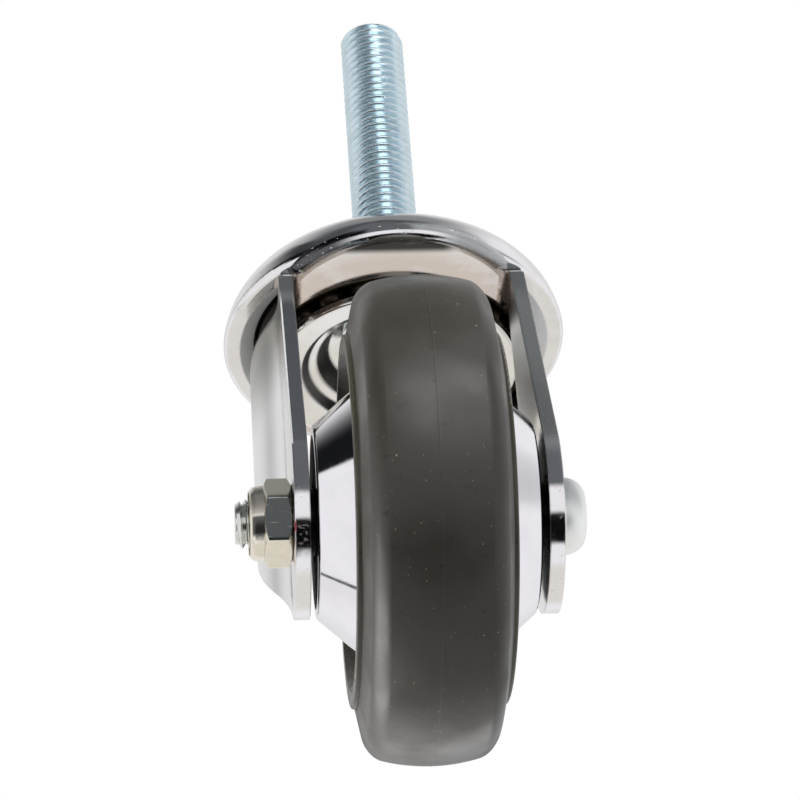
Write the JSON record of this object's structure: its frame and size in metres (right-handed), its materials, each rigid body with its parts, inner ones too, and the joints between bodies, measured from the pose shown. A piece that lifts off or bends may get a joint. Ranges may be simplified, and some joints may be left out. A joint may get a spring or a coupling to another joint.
{
  "type": "swivel_castor",
  "caption": "Swivel castor with a long threaded stem, domed chrome cap, pressed chrome fork on two ball rows, grey rubber-tyred wheel on ball bearings and chrome thread guards",
  "frame": {"origin": "Centre of the seat on top of the stem's collar, where the castor bears against what it is screwed into", "axes": "+Z is the stem and swivel axis, up; +X is the axle, towards the bolt's head; the wheel trails towards -Y"},
  "size_m": [0.0618, 0.1029, 0.1775],
  "materials": {
    "chrome": "bright chrome plating, a little worn and greasy",
    "zinc": "bright zinc plating",
    "ball_steel": "ground bearing steel",
    "shield_steel": "thin stamped steel",
    "nylon": "natural nylon",
    "core_plastic": "moulded plastic, satin",
    "tyre_rubber": "worn grey rubber, slightly shiny"
  },
  "bodies": {
    "head": {"threaded_stem": "zinc", "top_cap": "chrome", "race_spacer": "zinc", "lower_race_cup": "chrome"},
    "fork_body": {"fork": "chrome", "axle_bolt": "zinc", "lock_nut": "zinc", "nut_nylon_ring": "nylon", "bearing_tube": "zinc", "end_spacer_right": "zinc", "end_spacer_left": "zinc", "bearing_inner_right": "ball_steel", "bearing_inner_left": "ball_steel"},
    "wheel_body": {"wheel_core": "core_plastic", "tyre": "tyre_rubber", "thread_guard_right": "chrome", "thread_guard_left": "chrome", "bearing_outer_right": "ball_steel", "bearing_outer_left": "ball_steel", "bearing_shields_right": "shield_steel", "bearing_shields_left": "shield_steel"},
    "swivel_balls": {"upper_balls": "ball_steel", "lower_balls": "ball_steel"},
    "wheel_balls": {"bearing_balls_right": "ball_steel", "bearing_balls_left": "ball_steel", "bearing_cage_right": "shield_steel", "bearing_cage_left": "shield_steel"}
  },
  "joints": [
    {"name": "swivel", "type": "hinge", "parent": "head", "child": "fork_body", "pos_m": [0, 0, -0.0145], "axis": [0, 0, 1], "continuous": true},
    {"name": "wheel_spin", "type": "hinge", "parent": "fork_body", "child": "wheel_body", "pos_m": [0, -0.032, -0.075], "axis": [1, 0, 0], "continuous": true},
    {"name": "swivel_balls_roll", "type": "hinge", "parent": "head", "child": "swivel_balls", "pos_m": [0, 0, -0.0145], "axis": [0, 0, 1], "continuous": true},
    {"name": "wheel_balls_roll", "type": "hinge", "parent": "fork_body", "child": "wheel_balls", "pos_m": [0, -0.032, -0.075], "axis": [1, 0, 0], "continuous": true}
  ],
  "couplings": [
    {"joint": "swivel_balls_roll", "follows": "swivel", "ratio": 0.5},
    {"joint": "wheel_balls_roll", "follows": "wheel_spin", "ratio": 0.632}
  ]
}
